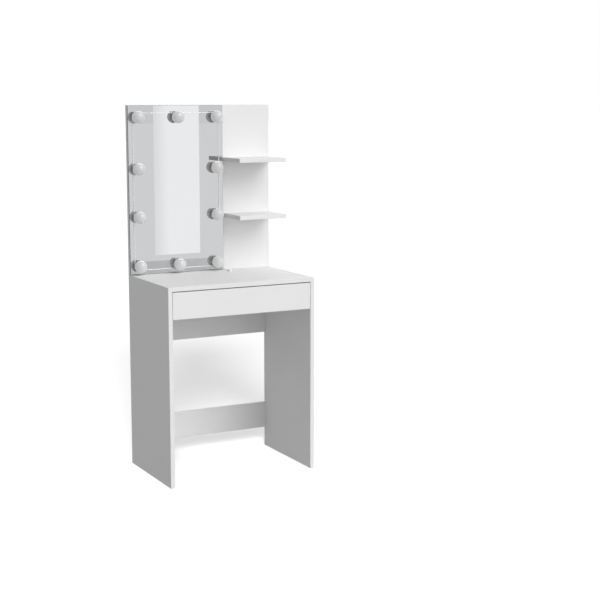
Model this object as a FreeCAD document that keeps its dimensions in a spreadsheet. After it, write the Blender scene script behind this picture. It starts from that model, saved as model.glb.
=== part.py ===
import FreeCAD, Part
import math
import os

import Sketcher

# Vanity table with a lit mirror, in millimetres.  X runs to the right, Y to the back, Z up.
# The origin is on the floor, in the middle of the footprint.

DOC = FreeCAD.newDocument("VanityTable")

# Driving dimensions: name, value.
DIMENSIONS = [
    # carcass of coated board
    ("desk_width", 600.0),
    ("desk_depth", 400.0),
    ("desk_height", 750.0),
    ("board_gauge", 16.0),
    ("edge_round", 0.8),
    ("upper_rail_height", 254.0),
    ("lower_rail_height", 105.0),
    ("lower_rail_lift", 81.0),
    # upright back board, shelves and mirror
    ("back_board_height", 650.0),
    ("shelf_gap", 4.0),
    ("shelf_depth", 150.0),
    ("upper_shelf_rise", 445.0),
    ("lower_shelf_rise", 224.0),
    ("mirror_width", 396.0),
    ("mirror_gauge", 4.0),
    ("mirror_margin", 1.0),
    ("tape_gauge", 1.0),
    ("tape_width", 20.0),
    ("tape_inset", 30.0),
    # steel plates across the seam behind the back board
    ("plate_width", 40.0),
    ("plate_height", 100.0),
    ("plate_gauge", 2.0),
    ("plate_offset", 180.0),
    ("plate_screw_near", 20.0),
    ("plate_screw_far", 40.0),
    # drawer
    ("drawer_front_height", 100.0),
    ("drawer_top_gap", 3.5),
    ("drawer_side_gap", 1.5),
    ("drawer_rear_gap", 18.0),
    ("drawer_wall_gauge", 12.0),
    ("drawer_wall_lift", 9.5),
    ("drawer_wall_drop", 10.5),
    ("drawer_floor_gauge", 3.0),
    ("groove_depth", 6.0),
    ("groove_lift", 8.0),
    ("groove_play", 0.2),
    # roller runners
    ("runner_space", 12.5),
    ("runner_setback", 20.0),
    ("runner_rear_gap", 14.0),
    ("runner_lift", 6.2),
    ("steel_gauge", 1.2),
    ("channel_height", 18.0),
    ("channel_reach", 10.4),
    ("channel_relief", 28.0),
    ("running_gap", 0.3),
    ("front_roller_radius", 11.0),
    ("front_roller_rise", 14.0),
    ("roller_width", 5.6),
    ("roller_inset", 4.0),
    ("roller_setback", 12.0),
    ("roller_chamfer", 0.5),
    ("drawer_rail_height", 22.0),
    ("drawer_rail_start", 2.8),
    ("tongue_length", 24.0),
    ("tongue_lift", 3.0),
    ("pin_radius", 2.0),
    ("pin_play", 0.05),
    ("pin_shoulder_radius", 3.5),
    ("pin_head_radius", 4.0),
    ("pin_head_height", 0.8),
    # fasteners
    ("dowel_radius", 4.0),
    ("dowel_length", 30.0),
    ("dowel_face_depth", 10.0),
    ("bolt_thread_radius", 3.0),
    ("bolt_shank_radius", 2.4),
    ("bolt_head_length", 3.0),
    ("bolt_bore_radius", 3.5),
    ("bolt_face_depth", 10.0),
    ("cam_radius", 7.5),
    ("cam_depth", 12.5),
    ("cam_distance", 24.0),
    ("drawer_bolt_depth", 8.0),
    ("drawer_cam_radius", 6.0),
    ("drawer_cam_depth", 10.2),
    ("drawer_cam_distance", 20.0),
    ("drawer_bolt_low", 24.0),
    ("drawer_bolt_drop", 20.0),
    ("bolt_front_inset", 60.0),
    ("dowel_front_inset", 100.0),
    ("rail_bolt_inset", 40.0),
    ("rail_dowel_inset", 20.0),
    ("back_dowel_near", 60.0),
    ("back_dowel_far", 220.0),
    ("shelf_screw_inset", 30.0),
    ("shelf_screw_radius", 2.5),
    ("shelf_screw_length", 50.0),
    ("shelf_screw_head", 5.0),
    ("small_screw_radius", 1.75),
    ("small_screw_head", 4.0),
    ("small_screw_cap", 1.0),
    ("cabinet_screw_length", 13.0),
    ("drawer_screw_length", 11.0),
    ("runner_screw_far", 60.0),
    ("runner_screw_near", 30.0),
    ("drawer_screw_rise", 10.0),
    ("plate_screw_radius", 2.0),
    ("plate_screw_head", 3.6),
    ("plate_screw_length", 14.0),
    # bulbs stuck on the mirror
    ("bulb_radius", 24.0),
    ("bulb_wall", 1.2),
    ("bulb_centre_rise", 24.5),
    ("bulb_side_inset", 35.0),
    ("bulb_low_inset", 34.0),
    ("bulb_high_inset", 46.0),
    ("bulb_low_gap", 189.0),
    ("bulb_high_gap", 197.0),
    ("base_rear_radius", 16.5),
    ("base_mouth_radius", 21.5),
    ("base_height", 10.0),
    ("base_wall", 1.5),
    ("pad_radius", 12.0),
    ("pad_gauge", 3.0),
    ("led_board_radius", 14.0),
    ("led_board_gauge", 1.2),
    # thin cable round the mirror, its loose lead and the dimmer
    ("cable_radius", 1.2),
    ("cable_offset", 16.0),
    ("cable_corner", 12.0),
    ("cable_exit", 11.0),
    ("dimmer_width", 12.0),
    ("dimmer_length", 18.0),
    ("dimmer_height", 7.0),
    ("dimmer_round", 2.0),
]

# Points of the loose lead, from where the last bulb lets it go to the dimmer on the desk.
LEAD_ROUTE = [
    (72.0, 176.8, 768.0),
    (81.0, 176.8, 768.0),
    (88.5, 171.5, 762.0),
    (90.5, 161.0, 754.5),
    (93.0, 148.0, 751.5),
    (92.0, 134.0, 751.5),
    (92.0, 120.0, 751.5),
]
LEAD_ARC_SHARE = 0.45
TUBE_VOLUME_TOLERANCE = 0.01

TAPE_STRIPS = 4
SCREWS_PER_RUNNER = 3

PIECES = []


class Size:
    """A length that carries its number and the sheet formula that gives it."""

    def __init__(self, formula, number):
        self.formula = formula
        self.number = number

    def __add__(self, other):
        other = as_size(other)
        return Size(f"({self.formula} + {other.formula})", self.number + other.number)

    def __sub__(self, other):
        other = as_size(other)
        return Size(f"({self.formula} - {other.formula})", self.number - other.number)

    def __mul__(self, other):
        other = as_size(other)
        return Size(f"({self.formula} * {other.formula})", self.number * other.number)

    def __truediv__(self, other):
        other = as_size(other)
        return Size(f"({self.formula} / {other.formula})", self.number / other.number)

    def __neg__(self):
        return Size(f"(0 - {self.formula})", -self.number)

    def __radd__(self, other):
        return as_size(other) + self

    def __rsub__(self, other):
        return as_size(other) - self

    def __rmul__(self, other):
        return as_size(other) * self


def as_size(value):
    if isinstance(value, Size):
        return value
    return Size(repr(float(value)), float(value))


def make_sheet():
    """Write the dimensions to the sheet and return a Size for each name."""
    sheet = DOC.addObject("Spreadsheet::Sheet", "Sizes")
    sizes = {}
    for row, (name, value) in enumerate(DIMENSIONS, start=1):
        sheet.set(f"A{row}", name)
        sheet.set(f"B{row}", str(value))
        sheet.setAlias(f"B{row}", name)
        sizes[name] = Size(f"Sizes.{name}", value)
    DOC.recompute()
    return sizes


class Table:
    """The driving dimensions as attributes, and the planes worked out from them."""

    def __init__(self, sizes):
        self.__dict__.update(sizes)
        self.left = -self.desk_width / 2
        self.right = self.desk_width / 2
        self.front = -(self.desk_depth + self.plate_gauge) / 2
        self.back = self.front + self.desk_depth
        self.inner_left = self.left + self.board_gauge
        self.inner_right = self.right - self.board_gauge
        self.top_under = self.desk_height - self.board_gauge
        self.rail_front = self.back - self.board_gauge
        self.rail_middle = self.back - self.board_gauge / 2
        self.glass_face = self.rail_front - self.tape_gauge - self.mirror_gauge
        self.mirror_left = self.left + self.mirror_margin
        self.mirror_bottom = self.desk_height + self.mirror_margin
        self.overall_height = self.desk_height + self.back_board_height
        self.shelf_width = self.desk_width - self.mirror_width - self.shelf_gap
        self.front_low = self.top_under - self.drawer_top_gap - self.drawer_front_height
        self.wall_low = self.front_low + self.drawer_wall_lift
        self.wall_high = self.front_low + self.drawer_front_height - self.drawer_wall_drop
        self.wall_start = self.front + self.board_gauge
        self.drawer_length = self.desk_depth - 2 * self.board_gauge - self.drawer_rear_gap
        self.wall_end = self.wall_start + self.drawer_length - self.drawer_wall_gauge
        self.drawer_half = self.desk_width / 2 - self.board_gauge - self.runner_space
        self.runner_length = self.desk_depth - self.board_gauge - self.runner_setback - self.runner_rear_gap
        self.channel_floor = self.front_low + self.runner_lift
        self.rail_under = self.front_roller_rise + self.front_roller_radius + self.running_gap


T = Table(make_sheet())

TURNS = {
    "X": FreeCAD.Rotation(FreeCAD.Vector(0, 1, 0), 90),
    "-X": FreeCAD.Rotation(FreeCAD.Vector(0, 1, 0), -90),
    "Y": FreeCAD.Rotation(FreeCAD.Vector(1, 0, 0), -90),
    "-Y": FreeCAD.Rotation(FreeCAD.Vector(1, 0, 0), 90),
    "Z": FreeCAD.Rotation(),
    "-Z": FreeCAD.Rotation(FreeCAD.Vector(1, 0, 0), 180),
}
STEPS = {"X": (1, 0, 0), "-X": (-1, 0, 0), "Y": (0, 1, 0), "-Y": (0, -1, 0), "Z": (0, 0, 1), "-Z": (0, 0, -1)}


# ---------------------------------------------------------------- shared helpers

def bind(thing, name, value):
    """Tie a property to the sheet."""
    thing.setExpression(name, as_size(value).formula)


def put(thing, point, axis="Z"):
    """Place a piece so that its own Z points along an axis, with its place tied to the sheet."""
    corner = [as_size(value) for value in point]
    base = FreeCAD.Vector(*[value.number for value in corner])
    thing.Placement = FreeCAD.Placement(base, TURNS[axis])
    for letter, value in zip("xyz", corner):
        bind(thing, f"Placement.Base.{letter}", value)
    return thing


def along(point, axis, distance):
    """The point a distance away along an axis."""
    moved = []
    for value, step in zip(point, STEPS[axis]):
        if step:
            value = as_size(value) + step * as_size(distance)
        moved.append(value)
    return tuple(moved)


def finish(thing, label):
    """Give a piece its name and list it for export."""
    thing.Label = label
    PIECES.append(thing)
    return thing


def cylinder(point, axis, radius, length):
    solid = DOC.addObject("Part::Cylinder", "Cylinder")
    bind(solid, "Radius", radius)
    bind(solid, "Height", length)
    return put(solid, point, axis)


def block(low, high):
    """Plain box between two corners."""
    solid = DOC.addObject("Part::Box", "Block")
    for name, start, end in zip(("Length", "Width", "Height"), low, high):
        bind(solid, name, as_size(end) - start)
    return put(solid, low)


def sphere(point, radius):
    solid = DOC.addObject("Part::Sphere", "Sphere")
    bind(solid, "Radius", radius)
    return put(solid, point)


def group(solids):
    """Several separate solids in one node."""
    bundle = DOC.addObject("Part::Compound", "Group")
    bundle.Links = solids
    return bundle


def cut(base, tools):
    """The base with every tool taken out of it."""
    result = DOC.addObject("Part::Cut", "Cut")
    result.Base = base
    result.Tool = tools[0] if len(tools) == 1 else group(tools)
    return result


def fuse(solids):
    result = DOC.addObject("Part::MultiFuse", "Fuse")
    result.Shapes = solids
    result.Refine = True
    return result


def plane_of(body, role):
    return next(item for item in body.Origin.OriginFeatures if item.Role == role)


def outline(body, role, corners):
    """Closed outline of straight lines on one of the body's own planes, each corner tied to the sheet."""
    sketch = body.newObject("Sketcher::SketchObject", "Outline")
    sketch.AttachmentSupport = [(plane_of(body, role), "")]
    sketch.MapMode = "FlatFace"
    corners = [(as_size(u), as_size(v)) for u, v in corners]
    points = [FreeCAD.Vector(u.number, v.number, 0) for u, v in corners]
    count = len(points)
    for index in range(count):
        sketch.addGeometry(Part.LineSegment(points[index], points[(index + 1) % count]), False)
    for index in range(count):
        sketch.addConstraint(Sketcher.Constraint("Coincident", index, 2, (index + 1) % count, 1))
    for index, corner in enumerate(corners):
        for kind, value in zip(("DistanceX", "DistanceY"), corner):
            row = sketch.addConstraint(Sketcher.Constraint(kind, -1, 1, index, 1, value.number))
            bind(sketch, f"Constraints[{row}]", value)
    return sketch


def turned(corners):
    """Body turned about its own Z from half a section, given as (radius, height) corners."""
    body = DOC.addObject("PartDesign::Body", "Turned")
    sketch = outline(body, "XZ_Plane", corners)
    spin = body.newObject("PartDesign::Revolution", "Revolution")
    spin.Profile = sketch
    spin.ReferenceAxis = (sketch, ["V_Axis"])
    spin.Angle = 360.0
    sketch.Visibility = False
    body.Tip = spin
    return body


def padded(role, corners, length, reverse=False):
    """Body padded from an outline on one of its own planes."""
    body = DOC.addObject("PartDesign::Body", "Padded")
    sketch = outline(body, role, corners)
    pad = body.newObject("PartDesign::Pad", "Pad")
    pad.Profile = sketch
    bind(pad, "Length", length)
    pad.Reversed = reverse
    body.Tip = pad
    return body


def rounded(body, radius):
    """Round every edge of the body's last feature."""
    pad = body.Tip
    DOC.recompute()
    fillet = body.newObject("PartDesign::Fillet", "EdgeRound")
    fillet.Base = (pad, [f"Edge{number}" for number in range(1, len(pad.Shape.Edges) + 1)])
    bind(fillet, "Radius", radius)
    body.Tip = fillet
    return body


def board(low, high):
    """Coated board between two corners, its edges eased."""
    size = [as_size(end) - start for start, end in zip(low, high)]
    rectangle = [(0, 0), (size[0], 0), (size[0], size[1]), (0, size[1])]
    return put(rounded(padded("XY_Plane", rectangle, size[2]), T.edge_round), low)


# ---------------------------------------------------------------- fasteners

def dowel(point, axis):
    """Dowel whose short half starts at a seam point and goes back into the face board."""
    start = along(point, axis, -T.dowel_face_depth)
    return cylinder(start, axis, T.dowel_radius, T.dowel_length)


def cam_bolt(point, axis, depth, distance):
    """Bolt threaded into a face board, its head in the cam of the board across the seam."""
    neck = depth + distance - T.bolt_head_length
    end = depth + distance
    body = turned([
        (0, 0),
        (T.bolt_thread_radius, 0),
        (T.bolt_thread_radius, depth),
        (T.bolt_shank_radius, depth),
        (T.bolt_shank_radius, neck),
        (T.bolt_thread_radius, neck),
        (T.bolt_thread_radius, end),
        (0, end),
    ])
    return put(body, along(point, axis, -depth), axis)


def countersunk_screw(point, axis, radius, head, length):
    """Flat-headed screw with its head flush at a point and its tip along an axis."""
    body = turned([
        (0, 0),
        (head, 0),
        (radius, head - radius),
        (radius, length - radius),
        (0, length),
    ])
    return put(body, point, axis)


def capped_screw(point, axis, length):
    """Low-headed screw whose head seats at a point, with its shank along an axis."""
    body = turned([
        (0, -T.small_screw_cap),
        (T.small_screw_head, -T.small_screw_cap),
        (T.small_screw_head, 0),
        (T.small_screw_radius, 0),
        (T.small_screw_radius, length - T.small_screw_radius),
        (0, length),
    ])
    return put(body, point, axis)


class CamJoints:
    """A set of like cam fittings: bolts, cams, and the bores that the bolts pass through."""

    def __init__(self, depth, distance, radius, cam_depth):
        self.depth = depth
        self.distance = distance
        self.radius = radius
        self.cam_depth = cam_depth
        self.bolts = []
        self.cams = []
        self.bores = []

    def add(self, point, axis, mouth, cam_axis):
        """One fitting at a seam point; the cam is sunk along cam_axis from its mouth coordinate."""
        self.bolts.append(cam_bolt(point, axis, self.depth, self.distance))
        self.bores.append(cylinder(point, axis, T.bolt_bore_radius, self.distance))
        centre = list(along(point, axis, self.distance))
        row = [abs(step) for step in STEPS[cam_axis]].index(1)
        centre[row] = mouth
        self.cams.append(cylinder(tuple(centre), cam_axis, self.radius, self.cam_depth))

    def group(self, bolts_label, cams_label):
        self.bolt_group = finish(group(self.bolts), bolts_label)
        self.cam_space = group(self.cams)
        self.bore_space = group(self.bores)
        self.cam_group = finish(cut(self.cam_space, [self.bolt_group]), cams_label)


def side_seams():
    """Both inner faces of the carcass, with the axis that points into the cross boards."""
    return [(T.inner_left, "X"), (T.inner_right, "-X")]


def make_carcass_joints():
    """Cams and dowels that hold the desk top and the rear rails between the side panels."""
    cams = CamJoints(T.bolt_face_depth, T.cam_distance, T.cam_radius, T.cam_depth)
    dowels = []
    top_middle = T.desk_height - T.board_gauge / 2
    rail_low = T.top_under - T.upper_rail_height
    for seam, axis in side_seams():
        for y in (T.front + T.bolt_front_inset, T.back - T.bolt_front_inset):
            cams.add((seam, y, top_middle), axis, T.top_under, "Z")
        for y in (T.front + T.dowel_front_inset, T.back - T.dowel_front_inset):
            dowels.append(dowel((seam, y, top_middle), axis))
        for z in (T.top_under - T.rail_bolt_inset, rail_low + T.rail_bolt_inset):
            cams.add((seam, T.rail_middle, z), axis, T.back, "-Y")
        dowels.append(dowel((seam, T.rail_middle, rail_low + T.upper_rail_height / 2), axis))
        cams.add((seam, T.rail_middle, T.lower_rail_lift + T.lower_rail_height / 2), axis, T.back, "-Y")
        lower_top = T.lower_rail_lift + T.lower_rail_height
        for z in (T.lower_rail_lift + T.rail_dowel_inset, lower_top - T.rail_dowel_inset):
            dowels.append(dowel((seam, T.rail_middle, z), axis))
    cams.group("carcass_cam_bolts", "carcass_cam_locks")
    return cams, dowels


def make_dowels(side_dowels):
    """All dowels: side seams, foot of the back board, and rear ends of the shelves."""
    dowels = list(side_dowels)
    for x in (-T.back_dowel_far, -T.back_dowel_near, T.back_dowel_near, T.back_dowel_far):
        dowels.append(dowel((x, T.rail_middle, T.desk_height), "Z"))
    for rise in (T.upper_shelf_rise, T.lower_shelf_rise):
        middle = T.desk_height + rise - T.board_gauge / 2
        dowels.append(dowel((T.right - T.shelf_width / 2, T.rail_front, middle), "-Y"))
    return finish(group(dowels), "wood_dowels")


def make_shelf_screws():
    """Long screws through the back board into the shelves."""
    screws = []
    for rise in (T.upper_shelf_rise, T.lower_shelf_rise):
        middle = T.desk_height + rise - T.board_gauge / 2
        for x in (T.right - T.shelf_width + T.shelf_screw_inset, T.right - T.shelf_screw_inset):
            screws.append(countersunk_screw((x, T.back, middle), "-Y", T.shelf_screw_radius,
                                            T.shelf_screw_head, T.shelf_screw_length))
    return finish(group(screws), "shelf_screws")


def make_joining_plates():
    """Two flat plates over the seam behind the back board, with four screws each."""
    seam = T.desk_height - T.board_gauge / 2
    outer = T.back + T.plate_gauge
    plates = []
    screws = []
    for x in (-T.plate_offset, T.plate_offset):
        low = (x - T.plate_width / 2, T.back, seam - T.plate_height / 2)
        high = (x + T.plate_width / 2, outer, seam + T.plate_height / 2)
        plates.append(block(low, high))
        for rise in (T.plate_screw_near, T.plate_screw_far):
            for z in (seam - rise, seam + rise):
                screws.append(countersunk_screw((x, outer, z), "-Y", T.plate_screw_radius,
                                                T.plate_screw_head, T.plate_screw_length))
    screw_group = finish(group(screws), "joining_plate_screws")
    finish(cut(group(plates), [screw_group]), "joining_plates")
    return screw_group


# ---------------------------------------------------------------- carcass and back board

def make_runner_screws():
    """Screws of the cabinet runners, driven into the side panels."""
    screws = []
    pitch = (T.runner_length - T.runner_screw_far - T.runner_screw_near) / (SCREWS_PER_RUNNER - 1)
    for seam, axis in side_seams():
        outward = "-X" if axis == "X" else "X"
        for index in range(SCREWS_PER_RUNNER):
            y = T.front + T.runner_setback + T.runner_screw_far + index * pitch
            seat = along((seam, y, T.channel_floor + T.channel_height / 2), axis, T.steel_gauge)
            screws.append(capped_screw(seat, outward, T.cabinet_screw_length))
    return finish(group(screws), "cabinet_runner_screws")


def make_carcass(cams, dowels, runner_screws, plate_screws, shelf_screws):
    """Side panels, desk top, rear rails, back board and shelves, each drilled for its fasteners."""
    side_tools = [cams.bolt_group, dowels, runner_screws]
    cross_tools = [cams.bore_space, cams.cam_space, dowels, plate_screws]

    left = board((T.left, T.front, 0), (T.inner_left, T.back, T.desk_height))
    finish(cut(left, side_tools), "left_side_panel")
    right = board((T.inner_right, T.front, 0), (T.right, T.back, T.desk_height))
    finish(cut(right, side_tools), "right_side_panel")

    top = board((T.inner_left, T.front, T.top_under), (T.inner_right, T.back, T.desk_height))
    finish(cut(top, cross_tools), "desk_top")
    upper = board((T.inner_left, T.rail_front, T.top_under - T.upper_rail_height),
                  (T.inner_right, T.back, T.top_under))
    finish(cut(upper, cross_tools), "rear_upper_rail")
    lower = board((T.inner_left, T.rail_front, T.lower_rail_lift),
                  (T.inner_right, T.back, T.lower_rail_lift + T.lower_rail_height))
    finish(cut(lower, cross_tools), "rear_lower_rail")

    back = board((T.left, T.rail_front, T.desk_height), (T.right, T.back, T.overall_height))
    finish(cut(back, [dowels, plate_screws, shelf_screws]), "back_board")
    for label, rise in (("upper_shelf", T.upper_shelf_rise), ("lower_shelf", T.lower_shelf_rise)):
        level = T.desk_height + rise
        shelf = board((T.right - T.shelf_width, T.rail_front - T.shelf_depth, level - T.board_gauge),
                      (T.right, T.rail_front, level))
        finish(cut(shelf, [dowels, shelf_screws]), label)


# ---------------------------------------------------------------- mirror and bulbs

def make_mirror():
    """Glass plate on upright strips of foam tape."""
    high = T.overall_height - T.mirror_margin
    right = T.mirror_left + T.mirror_width - 2 * T.mirror_margin
    glass = block((T.mirror_left, T.glass_face, T.mirror_bottom),
                  (right, T.glass_face + T.mirror_gauge, high))
    finish(glass, "mirror_glass")
    span = (right - T.mirror_left - 2 * T.tape_inset - T.tape_width) / (TAPE_STRIPS - 1)
    strips = []
    for index in range(TAPE_STRIPS):
        x = T.mirror_left + T.tape_inset + index * span
        strips.append(block((x, T.glass_face + T.mirror_gauge, T.mirror_bottom + T.tape_inset),
                            (x + T.tape_width, T.rail_front, high - T.tape_inset)))
    finish(group(strips), "mirror_tape_strips")


def bulb_places():
    """Bulb centres on the glass: four rows at each side, one bulb at the top and one at the bottom."""
    left = T.left + T.bulb_side_inset
    right = T.left + T.mirror_width - T.bulb_side_inset
    middle = T.left + T.mirror_width / 2
    low = T.desk_height + T.bulb_low_inset
    high = T.overall_height - T.bulb_high_inset
    rows = [low, low + T.bulb_low_gap, high - T.bulb_high_gap, high]
    places = [(left, row) for row in rows]
    places.append((middle, rows[-1]))
    places += [(right, row) for row in reversed(rows)]
    places.append((middle, rows[0]))
    return places


def bulb_base(centre):
    """Shallow cup that stands off the glass on its pad, open to the front."""
    body = turned([
        (0, 0),
        (T.base_rear_radius, 0),
        (T.base_mouth_radius, T.base_height),
        (T.base_mouth_radius - T.base_wall, T.base_height),
        (T.base_rear_radius - T.base_wall, T.base_wall),
        (0, T.base_wall),
    ])
    return put(body, along(centre, "-Y", T.pad_gauge), "-Y")


def bulb_globe(centre):
    """Hollow ball cut flat where it seats on the mouth of its base."""
    middle = along(centre, "-Y", T.bulb_centre_rise)
    shell = cut(sphere(middle, T.bulb_radius), [sphere(middle, T.bulb_radius - T.bulb_wall)])
    seat = T.pad_gauge + T.base_height
    return cut(shell, [cylinder(centre, "-Y", T.bulb_radius, seat)])


def make_bulbs():
    """Ten bulbs: base and globe apart, the pads and lamp boards in groups."""
    pads = []
    boards = []
    for number, (x, z) in enumerate(bulb_places(), start=1):
        centre = (x, T.glass_face, z)
        finish(bulb_base(centre), f"bulb_base_{number}")
        finish(bulb_globe(centre), f"bulb_globe_{number}")
        pads.append(cylinder(centre, "-Y", T.pad_radius, T.pad_gauge))
        floor = along(centre, "-Y", T.pad_gauge + T.base_wall)
        boards.append(cylinder(floor, "-Y", T.led_board_radius, T.led_board_gauge))
    finish(group(pads), "bulb_adhesive_pads")
    finish(group(boards), "bulb_lamp_boards")


# ---------------------------------------------------------------- cables

def bend_radius(before, corner, after, share):
    """Radius of the arc at a corner, and how far from the corner it starts."""
    into = corner - before
    out = after - corner
    reach = share * min(into.Length, out.Length)
    return reach / math.tan(into.getAngle(out) / 2), reach


def round_path(points, reaches):
    """Straight runs joined by tangent arcs; each arc starts its own reach from its corner."""
    edges = []
    start = points[0]
    for index in range(1, len(points) - 1):
        corner = points[index]
        into = (corner - points[index - 1]).normalize()
        out = (points[index + 1] - corner).normalize()
        reach = reaches[index - 1]
        radius = reach / math.tan(into.getAngle(out) / 2)
        inward = (out - into).normalize()
        depth = math.hypot(radius, reach) - radius
        first = corner - into * reach
        last = corner + out * reach
        edges.append(Part.LineSegment(start, first).toShape())
        edges.append(Part.Arc(first, corner + inward * depth, last).toShape())
        start = last
    edges.append(Part.LineSegment(start, points[-1]).toShape())
    return Part.Wire(edges)


def tube(path, radius, start, direction):
    """Round tube along a path; its volume is compared with section times length."""
    ring = Part.Wire([Part.makeCircle(radius, start, direction)])
    shape = path.makePipeShell([ring], True, False)
    expected = math.pi * radius ** 2 * path.Length
    if abs(shape.Volume - expected) > TUBE_VOLUME_TOLERANCE * expected:
        raise ValueError(f"tube volume {shape.Volume:.1f}, expected {expected:.1f}")
    return shape


def make_mirror_cable():
    """Cable held behind the bulb bases, from the bottom right bulb round to the third on the right."""
    places = [(x.number, z.number) for x, z in bulb_places()]
    offset = T.cable_offset.number
    depth = T.glass_face.number - T.cable_radius.number
    low_right = places[8]
    left = places[0][0] - offset
    right = low_right[0] + offset
    bottom = low_right[1] - offset
    top = places[3][1] + offset
    corners = [
        (low_right[0] + T.cable_exit.number, bottom),
        (left, bottom),
        (left, top),
        (right, top),
        (right, places[7][1]),
    ]
    points = [FreeCAD.Vector(x, depth, z) for x, z in corners]
    path = round_path(points, [T.cable_corner.number] * 3)
    cable = DOC.addObject("Part::Feature", "MirrorCable")
    cable.Shape = tube(path, T.cable_radius.number, points[0], FreeCAD.Vector(-1, 0, 0))
    finish(cable, "mirror_cable")


def make_lead():
    """Loose lead from the last bulb down to the desk, and the dimmer at its end."""
    points = [FreeCAD.Vector(*point) for point in LEAD_ROUTE]
    reaches = []
    for before, corner, after in zip(points, points[1:], points[2:]):
        radius, reach = bend_radius(before, corner, after, LEAD_ARC_SHARE)
        print(f"lead bend radius {radius:.1f} mm")
        reaches.append(reach)
    path = round_path(points, reaches)
    print(f"lead length {path.Length:.1f} mm")
    lead = DOC.addObject("Part::Feature", "Lead")
    lead.Shape = tube(path, T.cable_radius.number, points[0], points[1] - points[0])
    finish(lead, "lights_lead")

    end = points[-1]
    half = T.dimmer_width / 2
    rectangle = [(-half, 0), (half, 0), (half, T.dimmer_length), (-half, T.dimmer_length)]
    case = rounded(padded("XY_Plane", rectangle, T.dimmer_height), T.dimmer_round)
    put(case, (end.x, as_size(end.y) - T.dimmer_length, T.desk_height))
    finish(case, "lights_dimmer")


# ---------------------------------------------------------------- drawer

def make_drawer_joints():
    """Cam fittings at the four corners of the drawer, two at each."""
    cams = CamJoints(T.drawer_bolt_depth, T.drawer_cam_distance, T.drawer_cam_radius, T.drawer_cam_depth)
    for side, inward in ((-1, "-X"), (1, "X")):
        middle = side * (T.drawer_half - T.drawer_wall_gauge / 2)
        mouth = side * (T.drawer_half - T.drawer_wall_gauge)
        for z in (T.wall_low + T.drawer_bolt_low, T.wall_high - T.drawer_bolt_drop):
            cams.add((middle, T.wall_start, z), "Y", mouth, inward)
            cams.add((middle, T.wall_end, z), "-Y", mouth, inward)
    cams.group("drawer_cam_bolts", "drawer_cam_locks")
    return cams


def make_drawer_runner_screws():
    """Screws of the drawer rails, driven into the drawer sides."""
    screws = []
    pitch = (T.drawer_length - T.runner_screw_near - T.runner_screw_far) / (SCREWS_PER_RUNNER - 1)
    for side, outward in ((-1, "X"), (1, "-X")):
        for index in range(SCREWS_PER_RUNNER):
            y = T.wall_start + T.runner_screw_near + index * pitch
            z = T.channel_floor + T.rail_under + T.drawer_screw_rise
            seat = (side * (T.drawer_half + T.steel_gauge), y, z)
            screws.append(capped_screw(seat, outward, T.drawer_screw_length))
    return finish(group(screws), "drawer_runner_screws")


def make_drawer(cams, screws):
    """Front, sides and back of board, and a thin floor held in their grooves."""
    half = T.drawer_half
    inner = half - T.drawer_wall_gauge
    groove_low = T.wall_low + T.groove_lift
    groove_high = groove_low + T.drawer_floor_gauge + 2 * T.groove_play
    reach = T.groove_depth
    rear = T.wall_end + T.drawer_wall_gauge
    groove = block((-inner - reach, T.wall_start - reach, groove_low), (inner + reach, rear, groove_high))

    front_half = T.desk_width / 2 - T.board_gauge - T.drawer_side_gap
    front = board((-front_half, T.front, T.front_low),
                  (front_half, T.wall_start, T.front_low + T.drawer_front_height))
    finish(cut(front, [cams.bolt_group, groove]), "drawer_front")
    for label, low, high in (("drawer_left_side", -half, -inner), ("drawer_right_side", inner, half)):
        side = board((low, T.wall_start, T.wall_low), (high, T.wall_end, T.wall_high))
        finish(cut(side, [cams.bore_space, cams.cam_space, screws, groove]), label)
    floor_low = groove_low + T.groove_play
    floor_high = floor_low + T.drawer_floor_gauge
    back = board((-half, T.wall_end, floor_high), (half, rear, T.wall_high))
    finish(cut(back, [cams.bolt_group]), "drawer_back")
    edge = inner + reach - T.groove_play
    finish(block((-edge, T.wall_start - reach + T.groove_play, floor_low), (edge, rear, floor_high)),
           "drawer_floor")


# ---------------------------------------------------------------- roller runners

def roller(radius):
    """Plastic wheel with eased rims and a bore that runs on its pin."""
    bore = T.pin_radius + T.pin_play
    return turned([
        (bore, 0),
        (radius - T.roller_chamfer, 0),
        (radius, T.roller_chamfer),
        (radius, T.roller_width - T.roller_chamfer),
        (radius - T.roller_chamfer, T.roller_width),
        (bore, T.roller_width),
    ])


def pin(shoulder_end, head_start):
    """Riveted pin: through its steel web, a shoulder, the bearing length and a head."""
    end = head_start + T.pin_head_height
    return turned([
        (0, 0),
        (T.pin_radius, 0),
        (T.pin_radius, T.steel_gauge),
        (T.pin_shoulder_radius, T.steel_gauge),
        (T.pin_shoulder_radius, shoulder_end),
        (T.pin_radius, shoulder_end),
        (T.pin_radius, head_start),
        (T.pin_head_radius, head_start),
        (T.pin_head_radius, end),
        (0, end),
    ])


def cabinet_channel(side, seam, start):
    """Channel against the side panel, its flanges cut away in front to clear the roller."""
    gauge = side * T.steel_gauge
    reach = side * T.channel_reach
    high = T.channel_height
    corners = [
        (0, -T.steel_gauge),
        (reach, -T.steel_gauge),
        (reach, 0),
        (gauge, 0),
        (gauge, high),
        (reach, high),
        (reach, high + T.steel_gauge),
        (0, high + T.steel_gauge),
    ]
    body = put(padded("XZ_Plane", corners, T.runner_length, reverse=True), (seam, start, T.channel_floor))
    clear = [seam + gauge, seam + 2 * reach]
    if side < 0:
        clear.reverse()
    relief = block((clear[0], start - T.steel_gauge, T.channel_floor - 2 * T.steel_gauge),
                   (clear[1], start + T.channel_relief, T.channel_floor + high + 2 * T.steel_gauge))
    return body, relief


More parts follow.
